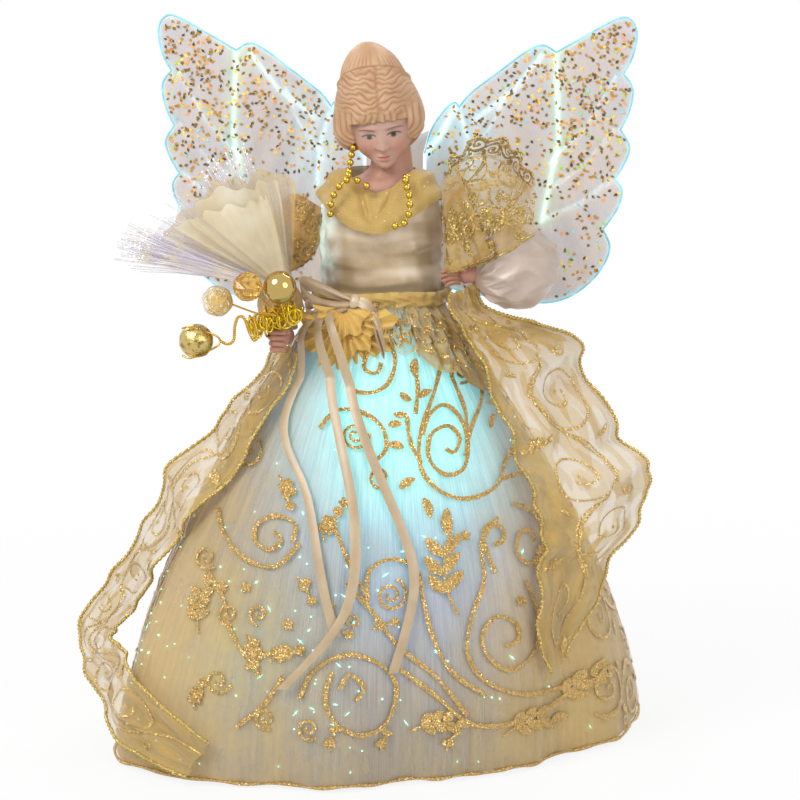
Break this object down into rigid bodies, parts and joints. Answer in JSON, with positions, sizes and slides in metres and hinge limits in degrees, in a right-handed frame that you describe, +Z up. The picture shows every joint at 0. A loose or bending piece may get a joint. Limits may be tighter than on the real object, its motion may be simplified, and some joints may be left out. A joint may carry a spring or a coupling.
{
  "type": "angel tree topper",
  "caption": "Lit angel for the tip of a tree: doll figure in a sheer gold gown over a cone with a socket, folding film wings, bouquet and battery light unit.",
  "frame": {"origin": "middle of the tree socket's mouth, on the plane that the base stands on", "axes": "+Z up, along the socket; the figure faces -Y and her left hand is on the +X side"},
  "size_m": [0.2422, 0.1948, 0.3051],
  "materials": {
    "moulded_plastic": "fine satin moulding grain",
    "steel": "bright drawn wire and plated screws",
    "cell_jacket": "plain printed jacket over a steel can",
    "circuit_board": "solder mask",
    "lead_sheath": "soft sheath",
    "lamp_lens": "clear moulded lens",
    "ferrule_metal": "turned",
    "light_fibre": "clear drawn fibre",
    "softwood": "sanded",
    "torso_foam": "closed foam",
    "bisque": "painted bisque, matt",
    "champagne_satin": "soft satin sheen",
    "gold_organza": "sheer, with gold glitter",
    "gold_tulle": "fine net, gold glitter",
    "lining_cloth": "milky sheer lining",
    "wing_film": "frosted film with coloured flakes",
    "gold_bead": "metallised",
    "gilt_wire": "bright gilt",
    "gilt_glass": "gold mirror coating inside thin glass",
    "crystal": "clear amber, cut and crackled"
  },
  "bodies": {
    "root": {"base_disc": "moulded_plastic", "tree_socket": "moulded_plastic", "cone_body": "moulded_plastic", "battery_box": "moulded_plastic", "switch_body": "moulded_plastic", "lamp_bridge": "moulded_plastic", "wing_housing": "moulded_plastic", "base_screw_1": "steel", "base_screw_2": "steel", "base_screw_3": "steel", "contact_strip": "steel", "contact_springs": "steel", "arm_wire": "steel", "battery_cell_1": "cell_jacket", "battery_cell_2": "cell_jacket", "battery_cell_3": "cell_jacket", "lamp_board": "circuit_board", "twin_lead": "lead_sheath", "lamp_1": "lamp_lens", "lamp_2": "lamp_lens", "lamp_3": "lamp_lens", "wing_lamp_left": "lamp_lens", "wing_lamp_right": "lamp_lens", "ferrule": "ferrule_metal", "light_fibres": "light_fibre", "bouquet_fibres": "light_fibre", "spine_dowel": "softwood", "bouquet_stem": "softwood", "torso_core": "torso_foam", "porcelain_bust": "bisque", "left_hand": "bisque", "right_hand": "bisque", "bodice": "champagne_satin", "left_bell_sleeve": "champagne_satin", "waist_ribbon": "champagne_satin", "left_puff_sleeve": "gold_organza", "right_puff_sleeve": "gold_organza", "right_lower_sleeve": "gold_organza", "skirt": "gold_organza", "waist_sash": "gold_organza", "left_drape": "gold_organza", "right_drape": "gold_organza", "bouquet_wrap": "gold_organza", "collar": "gold_tulle", "waist_rosette": "gold_tulle", "skirt_liner": "lining_cloth", "wing_tab": "wing_film", "bead_chain": "gold_bead", "bauble_wires": "gilt_wire", "gilt_coil": "gilt_wire", "gold_ball": "gilt_glass", "gold_bell": "gilt_glass", "faceted_bead": "crystal", "clear_bead": "crystal"},
    "battery_lid": {"battery_lid": "moulded_plastic"},
    "power_switch": {"switch_knob": "moulded_plastic"},
    "left_wing": {"left_wing": "wing_film"},
    "right_wing": {"right_wing": "wing_film"}
  },
  "joints": [
    {"name": "lid_slide", "type": "slide", "parent": "root", "child": "battery_lid", "axis": [1, 0, 0], "range_m": [0, 0.007]},
    {"name": "switch_slide", "type": "slide", "parent": "root", "child": "power_switch", "axis": [0, 1, 0], "range_m": [0, 0.003]},
    {"name": "left_wing_fold", "type": "hinge", "parent": "root", "child": "left_wing", "pos_m": [0.01265, 0.0406, 0.21], "axis": [0, 0, 1], "range_deg": [-8, 60]},
    {"name": "right_wing_fold", "type": "hinge", "parent": "root", "child": "right_wing", "pos_m": [-0.01265, 0.0406, 0.21], "axis": [0, 0, -1], "range_deg": [-8, 60]}
  ]
}
